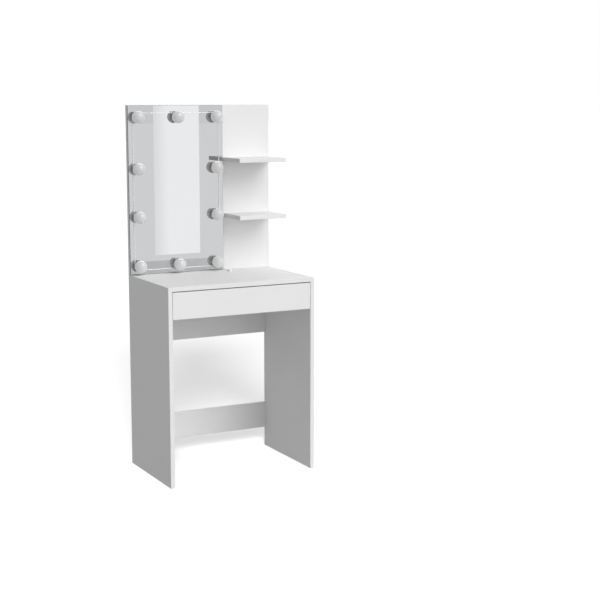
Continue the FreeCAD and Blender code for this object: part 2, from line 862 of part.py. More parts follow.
def drawer_rail(side, seam):
    """Angle on the drawer side that rides on the front roller, with a tongue for its own roller."""
    near = side * T.drawer_rail_start
    web = side * (T.runner_space - T.steel_gauge)
    far = side * T.runner_space
    under = T.rail_under
    corners = [
        (near, under),
        (far, under),
        (far, under + T.drawer_rail_height),
        (web, under + T.drawer_rail_height),
        (web, under + T.steel_gauge),
        (near, under + T.steel_gauge),
    ]
    body = padded("XZ_Plane", corners, T.drawer_length, reverse=True)
    put(body, (seam, T.wall_start, T.channel_floor))
    ends = [seam + web, seam + far]
    if side < 0:
        ends.reverse()
    rear = T.wall_start + T.drawer_length
    tongue = block((ends[0], rear - T.tongue_length, T.channel_floor + T.tongue_lift),
                   (ends[1], rear, T.channel_floor + under + T.steel_gauge))
    return fuse([body, tongue])


def make_runners(cabinet_screws, drawer_screws):
    """Both runner pairs with their rollers and pins."""
    start = T.front + T.runner_setback
    front_axis = (start + T.roller_setback, T.channel_floor + T.front_roller_rise)
    rear_axis = (T.wall_start + T.drawer_length - T.roller_setback, T.channel_floor + T.channel_height / 2)
    rear_radius = T.channel_height / 2 - T.running_gap
    far_side = T.roller_inset + T.roller_width
    cabinet_pins = []
    drawer_pins = []
    runners = []
    for (seam, axis), side, word in zip(side_seams(), (1, -1), ("left", "right")):
        outward = "-X" if axis == "X" else "X"
        cabinet_pin = put(pin(T.roller_inset - T.running_gap, far_side + T.running_gap),
                          (seam, *front_axis), axis)
        cabinet_pins.append(cabinet_pin)
        web_face = along((seam, *rear_axis), axis, T.runner_space)
        drawer_pin = put(pin(T.runner_space - far_side - T.running_gap,
                             T.runner_space - T.roller_inset + T.running_gap), web_face, outward)
        drawer_pins.append(drawer_pin)
        inner_face = along((seam, *front_axis), axis, T.roller_inset)
        finish(put(roller(T.front_roller_radius), inner_face, axis), f"cabinet_roller_{word}")
        outer_face = along((seam, *rear_axis), axis, T.roller_inset)
        finish(put(roller(rear_radius), outer_face, axis), f"drawer_roller_{word}")
        runners.append((word, cabinet_channel(side, seam, start), drawer_rail(side, seam)))
    cabinet_pin_group = finish(group(cabinet_pins), "cabinet_roller_pins")
    drawer_pin_group = finish(group(drawer_pins), "drawer_roller_pins")
    for word, (channel, relief), rail in runners:
        finish(cut(channel, [relief, cabinet_pin_group, cabinet_screws]), f"cabinet_runner_{word}")
        finish(cut(rail, [drawer_pin_group, drawer_screws]), f"drawer_runner_{word}")


# ---------------------------------------------------------------- build and export

def build():
    carcass_cams, side_dowels = make_carcass_joints()
    dowels = make_dowels(side_dowels)
    shelf_screws = make_shelf_screws()
    plate_screws = make_joining_plates()
    runner_screws = make_runner_screws()
    make_carcass(carcass_cams, dowels, runner_screws, plate_screws, shelf_screws)
    make_mirror()
    make_bulbs()
    make_mirror_cable()
    make_lead()
    drawer_cams = make_drawer_joints()
    drawer_screws = make_drawer_runner_screws()
    make_drawer(drawer_cams, drawer_screws)
    make_runners(runner_screws, drawer_screws)
    DOC.recompute()


def check():
    """Stop if any object failed or any piece has no valid solid."""
    faults = []
    for thing in DOC.Objects:
        if "Invalid" in thing.State or "Error" in thing.State:
            faults.append(f"{thing.Name} ({thing.Label}): {thing.State}")
    for piece in PIECES:
        if piece.Shape.isNull() or not piece.Shape.isValid() or not piece.Shape.Solids:
            faults.append(f"{piece.Label}: no valid solid")
    if faults:
        raise RuntimeError("; ".join(faults))


def export():
    os.makedirs("parts", exist_ok=True)
    for piece in PIECES:
        piece.Shape.exportStep(f"parts/{piece.Label}.step")
    print(f"{len(PIECES)} pieces written")


build()
check()
export()
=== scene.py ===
import math

import bmesh
import bpy
import numpy as np
from bpy.props import FloatProperty, FloatVectorProperty, IntProperty, PointerProperty
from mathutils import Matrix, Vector


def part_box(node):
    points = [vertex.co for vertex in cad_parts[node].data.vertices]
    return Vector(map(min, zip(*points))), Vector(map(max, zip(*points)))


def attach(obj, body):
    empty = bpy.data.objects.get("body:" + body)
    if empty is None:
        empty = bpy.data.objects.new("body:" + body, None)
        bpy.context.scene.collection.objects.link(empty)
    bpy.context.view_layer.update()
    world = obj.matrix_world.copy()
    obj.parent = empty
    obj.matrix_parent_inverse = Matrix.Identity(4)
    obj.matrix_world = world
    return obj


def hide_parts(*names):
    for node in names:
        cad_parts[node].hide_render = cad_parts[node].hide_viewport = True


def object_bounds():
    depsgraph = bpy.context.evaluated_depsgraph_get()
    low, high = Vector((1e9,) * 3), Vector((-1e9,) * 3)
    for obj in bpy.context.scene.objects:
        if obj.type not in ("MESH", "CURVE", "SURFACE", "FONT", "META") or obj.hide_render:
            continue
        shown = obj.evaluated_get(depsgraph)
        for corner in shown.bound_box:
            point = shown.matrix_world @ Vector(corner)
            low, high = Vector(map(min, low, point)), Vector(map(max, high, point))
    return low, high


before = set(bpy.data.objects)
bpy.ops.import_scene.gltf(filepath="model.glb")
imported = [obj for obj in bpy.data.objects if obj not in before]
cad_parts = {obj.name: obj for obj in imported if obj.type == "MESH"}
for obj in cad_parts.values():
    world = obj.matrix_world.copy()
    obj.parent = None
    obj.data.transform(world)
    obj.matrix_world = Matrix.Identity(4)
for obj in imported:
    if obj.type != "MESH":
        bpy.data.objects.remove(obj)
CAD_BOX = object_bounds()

bl_info = {
    "name": "Vanity table looks",
    "version": (1, 0, 0),
    "blender": (4, 5, 0),
    "location": "View3D > Sidebar > Vanity",
    "description": "Finishes the boards, mirror, bulbs, cables and fittings of a vanity table",
    "category": "Object",
}

CARCASS = "carcass"
DRAWER = "drawer"
BULBS = range(1, 11)

# Thickness axis of each coated board: 0 for X, 1 for Y, 2 for Z.
BOARDS = {
    "left_side_panel": 0, "right_side_panel": 0, "desk_top": 2, "rear_upper_rail": 1,
    "rear_lower_rail": 1, "back_board": 1, "upper_shelf": 2, "lower_shelf": 2,
    "drawer_front": 1, "drawer_left_side": 0, "drawer_right_side": 0, "drawer_back": 1,
}

# Height over which a cam lock sits in the desk top and looks down, in metres.
TOP_CAMS_ABOVE = 0.73

# The loose lead's route from the last bulb down to the dimmer, in metres.
LEAD_ROUTE = [
    (0.0720, 0.1768, 0.7680),
    (0.0810, 0.1768, 0.7680),
    (0.0885, 0.1715, 0.7620),
    (0.0905, 0.1610, 0.7545),
    (0.0930, 0.1480, 0.7515),
    (0.0920, 0.1340, 0.7515),
    (0.0920, 0.1200, 0.7515),
]

X = np.array((1.0, 0.0, 0.0))
Y = np.array((0.0, 1.0, 0.0))
Z = np.array((0.0, 0.0, 1.0))


# ---------------------------------------------------------------- settings

def length(label, about, default):
    return FloatProperty(name=label, description=about, default=default, min=0.0, precision=4, unit="LENGTH")


def colour(label, about, default):
    return FloatVectorProperty(name=label, description=about, default=default, size=3, min=0.0, max=1.0,
                               subtype="COLOR")


def share(label, about, default):
    return FloatProperty(name=label, description=about, default=default, min=0.0, max=1.0, subtype="FACTOR")


def amount(label, about, default):
    return FloatProperty(name=label, description=about, default=default, min=0.0)


def bearing(label, about, degrees):
    return FloatProperty(name=label, description=about, default=math.radians(degrees), subtype="ANGLE")


class VanityBoards(bpy.types.PropertyGroup):
    face: colour("Face", "Colour of the coated board", (0.87, 0.87, 0.87))
    joint: colour("Joint", "Colour of the glue line beside the edge band", (0.45, 0.44, 0.42))
    band: length("Edge band", "Thickness of the band on the board's edges", 0.0008)
    gloss: share("Roughness", "Roughness of the coating", 0.50)
    hardboard: colour("Drawer floor", "Colour of the thin drawer floor", (0.80, 0.80, 0.79))


class VanityMirror(bpy.types.PropertyGroup):
    tint: colour("Tint", "Share of the light that the mirror gives back", (0.57, 0.575, 0.585))
    edge: colour("Edge", "Colour of the cut edge of the glass", (0.20, 0.24, 0.23))
    chamfer: length("Chamfer", "Width of the ground chamfer", 0.0008)
    corner: length("Corner", "Radius of the glass corners", 0.0015)


class VanityBulbs(bpy.types.PropertyGroup):
    opal: colour("Opal", "Colour of the globes", (0.38, 0.38, 0.38))
    plate: colour("Plating", "Colour of the plated bases", (0.60, 0.60, 0.61))
    # Painted glow: the globes are unlit, and this emission evens out their light and shade.
    opal_painted_glow: amount("Painted glow", "Painted glow of the unlit globes, which evens out their light and shade", 0.29)
    wall: length("Globe wall", "Wall thickness of a globe", 0.0012)
    rear_radius: length("Rear radius", "Radius of a base where it faces the glass", 0.0165)
    rib_depth: length("Rib depth", "Depth of the ribs on a base", 0.0004)
    ribs: IntProperty(name="Ribs", description="Ribs round a base", default=36, min=6)


class VanityCables(bpy.types.PropertyGroup):
    sleeve: colour("Sleeve", "Colour of the cable sleeve", (0.93, 0.93, 0.93))
    # Painted glow: the cable sleeve round the mirror gives off light, though it is no lamp.
    clear: amount("Sleeve painted glow", "Painted glow of the cable sleeve round the mirror", 0.12)
    case: colour("Dimmer", "Colour of the dimmer case", (0.84, 0.84, 0.84))
    diameter: length("Diameter", "Diameter of the loose lead", 0.0024)
    lead: length("Lead length", "Length of the loose lead", 0.0736)


class VanityFittings(bpy.types.PropertyGroup):
    zinc: colour("Zinc", "Colour of plated steel", (0.58, 0.59, 0.60))
    enamel: colour("Enamel", "Colour of the coated runners", (0.80, 0.80, 0.79))
    nylon: colour("Nylon", "Colour of the rollers", (0.76, 0.76, 0.73))
    beech: colour("Beech", "Colour of the dowels", (0.66, 0.47, 0.29))
    foam: colour("Foam", "Colour of the foam tape", (0.80, 0.80, 0.77))


class VanityStage(bpy.types.PropertyGroup):
    azimuth: bearing("Azimuth", "Camera direction round the table", -28.03)
    elevation: bearing("Elevation", "Camera height as an angle", 8.82)
    distance: length("Distance", "From the camera to the plane through the table's middle", 5.061)
    aside: length("Aside", "How far the camera aims to the right of the table's middle", 0.305)
    below: length("Below", "How far the camera aims below the table's middle", 0.0425)
    lens: FloatProperty(name="Lens", description="Focal length in millimetres", default=78.9, min=10.0)
    key: amount("Key light", "Radiance of a white face square to the key", 0.50)
    key_azimuth: bearing("Key azimuth", "Direction that the key comes from", 30.0)
    key_elevation: bearing("Key elevation", "Height of the key as an angle", 43.0)
    fill: amount("Front light", "Radiance of a white face square to the low front light", 0.33)
    rear: amount("Rear light", "Radiance of a white face square to the rear light", 0.22)
    ground: amount("Floor light", "Radiance of a white face square to the floor's light", 0.86)
    ambient: amount("Ambient", "Even light from all sides", 0.40)
    floor: colour("Floor", "Colour of the floor", (0.95, 0.95, 0.95))
    bounce: colour("Floor bounce", "Colour of the floor as the table sees it", (0.52, 0.52, 0.52))
    glow: amount("Floor glow", "Light of the floor itself as the eye sees it", 0.33)


SETTINGS = {
    "vanity_boards": VanityBoards,
    "vanity_mirror": VanityMirror,
    "vanity_bulbs": VanityBulbs,
    "vanity_cables": VanityCables,
    "vanity_fittings": VanityFittings,
    "vanity_stage": VanityStage,
}


# ---------------------------------------------------------------- surfaces

def skin(points, wrap=True):
    """Four-sided faces over a grid of points; with wrap, the last column joins the first."""
    rows, columns = points.shape[:2]
    index = np.arange(rows * columns).reshape(rows, columns)
    if wrap:
        index = np.hstack([index, index[:, :1]])
    faces = np.stack([index[:-1, :-1], index[1:, :-1], index[1:, 1:], index[:-1, 1:]], axis=-1)
    return points.reshape(-1, 3), faces.reshape(-1, 4)


def turned(radius, height, centre, axis, steps=48):
    """Surface of revolution: centre + radius * (cos a, sin a) across the axis + height along it.

    Radius and height are rows of a profile, or grids of row by angle for ribs and recesses."""
    angle = angles(steps)
    side = Z if abs(axis[2]) < 0.5 else X
    across = np.cross(side, axis)
    up = np.cross(axis, across)
    radius = np.broadcast_to(np.reshape(radius, (len(radius), -1)), (len(radius), steps))
    height = np.broadcast_to(np.reshape(height, (len(height), -1)), (len(height), steps))
    ring = np.cos(angle)[:, None] * across + np.sin(angle)[:, None] * up
    points = np.asarray(centre) + radius[..., None] * ring + height[..., None] * np.asarray(axis)
    return skin(points)


def angles(steps):
    """Even angles of one turn, without the last, which is the first again."""
    return np.linspace(0.0, 2.0 * np.pi, steps, endpoint=False)


def smooth(value, low, high):
    """Smooth step: 3t^2 - 2t^3 of the value's share of the way from low to high."""
    t = np.clip((value - low) / (high - low), 0.0, 1.0)
    return t * t * (3.0 - 2.0 * t)


def cross_recess(radius, steps, reach, arm, depth):
    """Depth grid of a cross slot on a disc: full in arms |x| or |y| < arm, fading out at the reach."""
    angle = angles(steps)
    x = np.abs(radius[:, None] * np.cos(angle))
    y = np.abs(radius[:, None] * np.sin(angle))
    inside = 1.0 - smooth(np.minimum(x, y), 0.8 * arm, 1.3 * arm)
    return depth * inside * (1.0 - smooth(np.maximum(x, y), 0.4 * reach, reach))


def squircle(steps, half_width, half_height, power):
    """Superellipse |x/a|^n + |z/b|^n = 1 as points at even angles."""
    angle = angles(steps)
    cosine, sine = np.cos(angle), np.sin(angle)
    scale = (np.abs(cosine) ** power + np.abs(sine) ** power) ** (-1.0 / power)
    return half_width * cosine * scale, half_height * sine * scale


def solid_boxes(node):
    """Lowest and highest corner of each separate solid in a CAD node.

    Corners of one triangle take the lowest label among them, again and again until nothing changes."""
    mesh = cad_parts[node].data
    places = np.empty(3 * len(mesh.vertices))
    mesh.vertices.foreach_get("co", places)
    places = places.reshape(-1, 3)
    corners = np.empty(len(mesh.loops), int)
    mesh.loops.foreach_get("vertex_index", corners)
    single = np.unique(np.round(places, 6), axis=0, return_inverse=True)[1].ravel()
    triangles = single[corners].reshape(-1, 3)
    label = np.arange(single.max() + 1)
    settled = False
    while not settled:
        before = label.copy()
        np.minimum.at(label, triangles.ravel(), np.repeat(label[triangles].min(axis=1), 3))
        settled = np.array_equal(label, before)
    owner = label[single]
    return [(places[owner == one].min(axis=0), places[owner == one].max(axis=0)) for one in np.unique(owner)]


def put(name, data):
    """A new object in the scene."""
    thing = bpy.data.objects.new(name, data)
    bpy.context.scene.collection.objects.link(thing)
    return thing


def make_piece(name, surfaces, material, body, replaces=(), bend=40.0):
    """One closed mesh object from its surfaces, riding on a body and standing for its CAD nodes."""
    starts = np.cumsum([0] + [len(points) for points, _ in surfaces])
    mesh = bpy.data.meshes.new(name)
    faces = [row.tolist() for start, (_, rows) in zip(starts, surfaces) for row in (rows + start)]
    mesh.from_pydata(np.vstack([points for points, _ in surfaces]).tolist(), [], faces)
    shape = bmesh.new()
    shape.from_mesh(mesh)
    bmesh.ops.remove_doubles(shape, verts=shape.verts, dist=1e-7)
    bmesh.ops.recalc_face_normals(shape, faces=shape.faces)
    shape.to_mesh(mesh)
    shape.free()
    mesh.shade_smooth()
    mesh.set_sharp_from_angle(angle=math.radians(bend))
    mesh.materials.append(material)
    piece = put(name, mesh)
    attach(piece, body)
    if replaces:
        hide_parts(*replaces)
    return piece


# ---------------------------------------------------------------- shader effects

class Web:
    """Short way to add, feed and link the nodes of one tree."""

    def __init__(self, tree):
        self.tree = tree

    def feed(self, socket, value):
        if isinstance(value, bpy.types.NodeSocket):
            self.tree.links.new(value, socket)
        elif isinstance(value, (tuple, list)) and socket.type == "RGBA" and len(value) == 3:
            socket.default_value = (*value, 1.0)
        else:
            socket.default_value = value

    def add(self, kind, inputs=(), **options):
        node = self.tree.nodes.new(kind)
        for name, value in options.items():
            setattr(node, name, value)
        for key, value in dict(inputs).items():
            self.feed(node.inputs[key], value)
        return node

    def math(self, operation, *values):
        node = self.add("ShaderNodeMath", dict(enumerate(values)), operation=operation)
        return node.outputs[0]

    def between(self, value, low, high):
        """0 below low, 1 above high, smooth between."""
        node = self.add("ShaderNodeMapRange", {"Value": value, "From Min": low, "From Max": high},
                        interpolation_type="SMOOTHSTEP")
        return node.outputs["Result"]

    def blend(self, factor, first, second):
        node = self.add("ShaderNodeMix", data_type="RGBA")
        sockets = [socket for socket in node.inputs if socket.enabled]
        for socket, value in zip(sockets, (factor, first, second)):
            self.feed(socket, value)
        return next(socket for socket in node.outputs if socket.enabled)

    def noise(self, scale, detail=2.0, stretch=(1.0, 1.0, 1.0)):
        place = self.add("ShaderNodeTexCoord").outputs["Object"]
        turn = self.add("ShaderNodeMapping", {"Vector": place, "Scale": stretch})
        return self.add("ShaderNodeTexNoise", {"Vector": turn.outputs[0], "Scale": scale, "Detail": detail})

    def use(self, tree, inputs=()):
        node = self.add("ShaderNodeGroup", node_tree=tree)
        for key, value in dict(inputs).items():
            self.feed(node.inputs[key], value)
        return node.outputs


def effect(name, inputs, outputs, wire):
    """A shared node group, built the first time that it is asked for."""
    tree = bpy.data.node_groups.get(name)
    if tree is None:
        tree = bpy.data.node_groups.new(name, "ShaderNodeTree")
        for label, kind, value in inputs:
            tree.interface.new_socket(label, in_out="INPUT", socket_type=kind).default_value = value
        for label in outputs:
            tree.interface.new_socket(label, in_out="OUTPUT", socket_type="NodeSocketFloat")
        source = tree.nodes.new("NodeGroupInput")
        sink = tree.nodes.new("NodeGroupOutput")
        wire(Web(tree), source.outputs, sink.inputs)
    return tree


def relief():
    """Fine grain: a close noise for height and a wide one for tone."""
    def wire(web, given, wanted):
        fine = web.noise(given["Grain"], 3.0)
        wide = web.noise(given["Drift"], 2.0)
        web.feed(wanted["Height"], fine.outputs["Fac"])
        web.feed(wanted["Tone"], web.between(wide.outputs["Fac"], 0.3, 0.7))
    return effect("relief", [("Grain", "NodeSocketFloat", 900.0), ("Drift", "NodeSocketFloat", 3.0)],
                  ["Height", "Tone"], wire)


def board_edges():
    """Glue line at the band's thickness from each edge of the two faces, and the rounded rim.

    On a face the distance to the nearest edge is the least of min(p - low, high - p) over the axes
    that lie in that face."""
    def wire(web, given, wanted):
        place = web.add("ShaderNodeTexCoord").outputs["Object"]
        lift = web.add("ShaderNodeVectorMath", {0: place, 1: given["Low"]}, operation="SUBTRACT").outputs[0]
        drop = web.add("ShaderNodeVectorMath", {0: given["High"], 1: place}, operation="SUBTRACT").outputs[0]
        near = web.add("ShaderNodeVectorMath", {0: lift, 1: drop}, operation="MINIMUM").outputs[0]
        normal = web.add("ShaderNodeNewGeometry").outputs["True Normal"]
        steep = web.add("ShaderNodeVectorMath", {0: normal}, operation="ABSOLUTE").outputs[0]
        gaps = web.add("ShaderNodeSeparateXYZ", {0: web.add(
            "ShaderNodeVectorMath", {0: near, 1: steep}, operation="ADD").outputs[0]}).outputs
        gap = web.math("MINIMUM", web.math("MINIMUM", gaps[0], gaps[1]), gaps[2])
        off = web.math("ABSOLUTE", web.math("SUBTRACT", gap, given["Band"]))
        line = web.math("SUBTRACT", 1.0, web.between(off, 0.00005, 0.00018))
        facing = web.add("ShaderNodeVectorMath", {0: steep, 1: given["Across"]}, operation="DOT_PRODUCT")
        web.feed(wanted["Joint"], web.math("MULTIPLY", line, web.between(facing.outputs["Value"], 0.9, 0.99)))
        sides = web.add("ShaderNodeSeparateXYZ", {0: steep}).outputs
        most = web.math("MAXIMUM", web.math("MAXIMUM", sides[0], sides[1]), sides[2])
        web.feed(wanted["Rim"], web.math("SUBTRACT", 1.0, web.between(most, 0.75, 0.98)))
    inputs = [
        ("Low", "NodeSocketVector", (0, 0, 0)),
        ("High", "NodeSocketVector", (1, 1, 1)),
        ("Across", "NodeSocketVector", (0, 0, 1)),
        ("Band", "NodeSocketFloat", 0.0008),
    ]
    return effect("board_edges", inputs, ["Joint", "Rim"], wire)


def settled_dust():
    """Broken patches that lie only on faces that look up."""
    def wire(web, given, wanted):
        normal = web.add("ShaderNodeNewGeometry").outputs["Normal"]
        height = web.add("ShaderNodeSeparateXYZ", {0: normal}).outputs[2]
        patch = web.between(web.noise(given["Patch"], 6.0).outputs["Fac"], 0.45, 0.75)
        web.feed(wanted["Mask"], web.math("MULTIPLY", web.between(height, 0.5, 0.95), patch))
    return effect("settled_dust", [("Patch", "NodeSocketFloat", 14.0)], ["Mask"], wire)


def hairlines():
    """Fine handling marks: a noise drawn out along one direction, with only its peaks kept."""
    def wire(web, given, wanted):
        marks = web.noise(given["Scale"], 4.0, (1.0, 1.0, 0.03))
        web.feed(wanted["Mask"], web.between(marks.outputs["Fac"], 0.56, 0.68))
    return effect("hairlines", [("Scale", "NodeSocketFloat", 400.0)], ["Mask"], wire)


def spangle():
    """Crystal pattern of a plated surface: cells of slightly different tone."""
    def wire(web, given, wanted):
        place = web.add("ShaderNodeTexCoord").outputs["Object"]
        cells = web.add("ShaderNodeTexVoronoi", {"Vector": place, "Scale": given["Scale"]})
        web.feed(wanted["Tone"], web.add("ShaderNodeSeparateColor", {0: cells.outputs["Color"]}).outputs[0])
        web.feed(wanted["Height"], cells.outputs["Distance"])
    return effect("spangle", [("Scale", "NodeSocketFloat", 500.0)], ["Tone", "Height"], wire)


# ---------------------------------------------------------------- materials

def new_material(name):
    material = bpy.data.materials.new(name)
    material.use_nodes = True
    return material, Web(material.node_tree), material.node_tree.nodes["Principled BSDF"].inputs


def bump(web, shader, height, distance):
    node = web.add("ShaderNodeBump", {"Height": height, "Distance": distance, "Strength": 1.0})
    web.feed(shader["Normal"], node.outputs[0])


def darker(value, factor):
    return tuple(channel * factor for channel in value)


def board_material(name, low, high, across, settings):
    """White coating with a fine pearl grain, the band's glue line, a painted highlight on the rounded rim and
    a little dust.
    """
    material, web, shader = new_material(f"{name}_coating")
    grain = web.use(relief(), {"Grain": 1400.0, "Drift": 4.0})
    edges = web.use(board_edges(), {"Low": low, "High": high, "Across": across, "Band": settings.band})
    dust = web.use(settled_dust())["Mask"]
    face = tuple(settings.face)
    tone = web.blend(grain["Tone"], darker(face, 0.985), face)
    jointed = web.blend(web.math("MULTIPLY", edges["Joint"], 0.6), tone, tuple(settings.joint))
    # Painted highlight: the rounded rim of every board is lightened toward 0.93.
    rim_highlighted = web.blend(web.math("MULTIPLY", edges["Rim"], 0.1), jointed, (0.93, 0.93, 0.93))
    web.feed(shader["Base Color"], web.blend(web.math("MULTIPLY", dust, 0.04), rim_highlighted, (0.70, 0.69, 0.67)))
    rough = web.math("ADD", settings.gloss, web.math("MULTIPLY", grain["Height"], 0.08))
    web.feed(shader["Roughness"], web.math("ADD", rough, web.math("MULTIPLY", dust, 0.15)))
    web.feed(shader["Specular IOR Level"], 0.15)
    bump(web, shader, grain["Height"], 0.00004)
    return material


def hardboard_material(settings):
    """Thin lacquered fibre board: mottled tone and a soft fibrous grain."""
    material, web, shader = new_material("hardboard_lacquer")
    fibres = web.noise(700.0, 5.0, (1.0, 0.25, 1.0))
    mottle = web.noise(60.0, 4.0)
    face = tuple(settings.hardboard)
    tone = web.blend(web.between(mottle.outputs["Fac"], 0.35, 0.7), face, darker(face, 0.94))
    web.feed(shader["Base Color"], tone)
    web.feed(shader["Roughness"], web.math("ADD", 0.5, web.math("MULTIPLY", fibres.outputs["Fac"], 0.15)))
    bump(web, shader, fibres.outputs["Fac"], 0.00006)
    return material


def silver_material(settings):
    """Silvered face of the mirror with the faintest wipe marks."""
    material, web, shader = new_material("mirror_silver")
    wipe = web.noise(9.0, 5.0, (1.0, 1.0, 0.4))
    tint = tuple(settings.tint)
    wiped = web.between(wipe.outputs["Fac"], 0.3, 0.8)
    web.feed(shader["Base Color"], web.blend(wiped, tint, darker(tint, 0.985)))
    web.feed(shader["Metallic"], 1.0)
    web.feed(shader["Roughness"], 0.0)
    return material


def glass_edge_material(settings):
    """Ground and polished edge of the glass, dull green with grinding lines."""
    material, web, shader = new_material("mirror_ground_edge")
    marks = web.use(hairlines(), {"Scale": 900.0})["Mask"]
    edge = tuple(settings.edge)
    web.feed(shader["Base Color"], web.blend(marks, edge, darker(edge, 1.5)))
    web.feed(shader["Roughness"], web.math("ADD", 0.12, web.math("MULTIPLY", marks, 0.2)))
    web.feed(shader["IOR"], 1.52)
    bump(web, shader, marks, 0.00002)
    return material


def opal_material(settings):
    """Opal diffuser: milky with cloudy depth, glossy skin with slight moulding waves, and a painted glow that
    evens out its light and shade.
    """
    material, web, shader = new_material("opal_diffuser")
    cloud = web.noise(45.0, 4.0)
    wave = web.noise(120.0, 1.0)
    dust = web.use(settled_dust(), {"Patch": 90.0})["Mask"]
    milk = tuple(settings.opal)
    milky = web.blend(web.between(cloud.outputs["Fac"], 0.3, 0.75), milk, darker(milk, 0.96))
    web.feed(shader["Base Color"], web.blend(web.math("MULTIPLY", dust, 0.06), milky, (0.6, 0.59, 0.57)))
    web.feed(shader["Roughness"], web.math("ADD", 0.22, web.math("MULTIPLY", dust, 0.12)))
    web.feed(shader["Coat Weight"], 0.4)
    # Painted glow: the unlit globes give off light in their own colour, which evens out their light and
    # shade.
    web.feed(shader["Emission Color"], milky)
    web.feed(shader["Emission Strength"], settings.opal_painted_glow / settings.opal[0])
    web.feed(shader["Coat Roughness"], 0.04)
    bump(web, shader, wave.outputs["Fac"], 0.00008)
    return material


def plated_material(settings):
    """Bright plating over moulded ribs, with dull specks."""
    material, web, shader = new_material("base_plating")
    cells = web.use(spangle(), {"Scale": 900.0})
    marks = web.use(hairlines(), {"Scale": 700.0})["Mask"]
    plate = tuple(settings.plate)
    web.feed(shader["Base Color"], web.blend(cells["Tone"], darker(plate, 0.75), darker(plate, 1.2)))
    web.feed(shader["Metallic"], 1.0)
    web.feed(shader["Roughness"], web.math("ADD", 0.34, web.math("MULTIPLY", marks, 0.2)))
    bump(web, shader, cells["Height"], 0.00005)
    return material


def lamp_board_material():
    """White lamp board with a ring of small yellow diodes worked out from the cell pattern."""
    material, web, shader = new_material("lamp_board_mask")
    place = web.add("ShaderNodeTexCoord").outputs["Object"]
    cells = web.add("ShaderNodeTexVoronoi", {"Vector": place, "Scale": 180.0, "Randomness": 0.0})
    chip = web.math("SUBTRACT", 1.0, web.between(cells.outputs["Distance"], 0.22, 0.28))
    web.feed(shader["Base Color"], web.blend(chip, (0.86, 0.86, 0.83), (0.85, 0.70, 0.22)))
    web.feed(shader["Roughness"], web.math("SUBTRACT", 0.5, web.math("MULTIPLY", chip, 0.25)))
    return material


def moulded_material(name, base, rough, glow=0.0, grain=1800.0, depth=0.00003):
    """Moulded plastic: fine spark-eroded grain, slight tone drift and handling marks, and a painted glow
    where glow is given.
    """
    material, web, shader = new_material(name)
    texture = web.use(relief(), {"Grain": grain, "Drift": 40.0})
    marks = web.use(hairlines(), {"Scale": 600.0})["Mask"]
    web.feed(shader["Base Color"], web.blend(texture["Tone"], darker(base, 0.95), base))
    web.feed(shader["Roughness"], web.math("ADD", rough, web.math("MULTIPLY", marks, 0.12)))
    # Painted glow: emission in the plastic's own colour wherever glow is above zero; no lamp is inside.
    web.feed(shader["Emission Color"], base)
    web.feed(shader["Emission Strength"], glow)
    bump(web, shader, texture["Height"], depth)
    return material


def foam_material(settings):
    """Closed-cell foam: small dark-walled cells."""
    material, web, shader = new_material("closed_cell_foam")
    cells = web.use(spangle(), {"Scale": 2500.0})
    foam = tuple(settings.foam)
    web.feed(shader["Base Color"], web.blend(cells["Height"], darker(foam, 0.85), foam))
    web.feed(shader["Roughness"], web.math("ADD", 0.75, web.math("MULTIPLY", cells["Tone"], 0.15)))
    bump(web, shader, cells["Height"], 0.00015)
    return material


def zinc_material(name, settings, factor=1.0):
    """Zinc-plated steel: spangled tone, hairline marks and a dull grey bloom."""
    material, web, shader = new_material(name)
    cells = web.use(spangle(), {"Scale": 350.0})
    marks = web.use(hairlines(), {"Scale": 500.0})["Mask"]
    bloom = web.between(web.noise(80.0, 5.0).outputs["Fac"], 0.45, 0.75)
    zinc = darker(settings.zinc, factor)
    toned = web.blend(cells["Tone"], darker(zinc, 0.88), zinc)
    web.feed(shader["Base Color"], web.blend(web.math("MULTIPLY", bloom, 0.3), toned, (0.55, 0.55, 0.54)))
    web.feed(shader["Metallic"], web.math("SUBTRACT", 1.0, web.math("MULTIPLY", bloom, 0.15)))
    rough = web.math("ADD", 0.28, web.math("MULTIPLY", marks, 0.15))
    web.feed(shader["Roughness"], web.math("ADD", rough, web.math("MULTIPLY", bloom, 0.2)))
    bump(web, shader, cells["Height"], 0.00003)
    return material


def enamel_material(settings):
    """Sprayed enamel on the runners: orange-peel waves and grey rub marks."""
    material, web, shader = new_material("runner_enamel")
    peel = web.noise(500.0, 1.0)
    marks = web.use(hairlines(), {"Scale": 300.0})["Mask"]
    enamel = tuple(settings.enamel)
    web.feed(shader["Base Color"], web.blend(web.math("MULTIPLY", marks, 0.2), enamel, (0.45, 0.45, 0.44)))
    web.feed(shader["Roughness"], web.math("ADD", 0.3, web.math("MULTIPLY", marks, 0.2)))
    bump(web, shader, peel.outputs["Fac"], 0.00008)
    return material


def beech_material(settings):
    """Beech: long grain with short dark rays."""
    material, web, shader = new_material("beech_grain")
    grain = web.noise(120.0, 5.0, (0.08, 1.0, 1.0))
    rays = web.between(web.noise(900.0, 2.0, (0.2, 1.0, 1.0)).outputs["Fac"], 0.6, 0.7)
    beech = tuple(settings.beech)
    toned = web.blend(grain.outputs["Fac"], darker(beech, 0.8), beech)
    web.feed(shader["Base Color"], web.blend(web.math("MULTIPLY", rays, 0.5), toned, darker(beech, 0.55)))
    web.feed(shader["Roughness"], web.math("ADD", 0.55, web.math("MULTIPLY", rays, 0.2)))
    bump(web, shader, grain.outputs["Fac"], 0.0001)
    return material


def cover(material, *nodes):
    """Give CAD nodes one material in place of their own."""
    for node in nodes:
        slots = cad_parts[node].data.materials
        slots.clear()
        slots.append(material)


# ---------------------------------------------------------------- mirror and bulbs

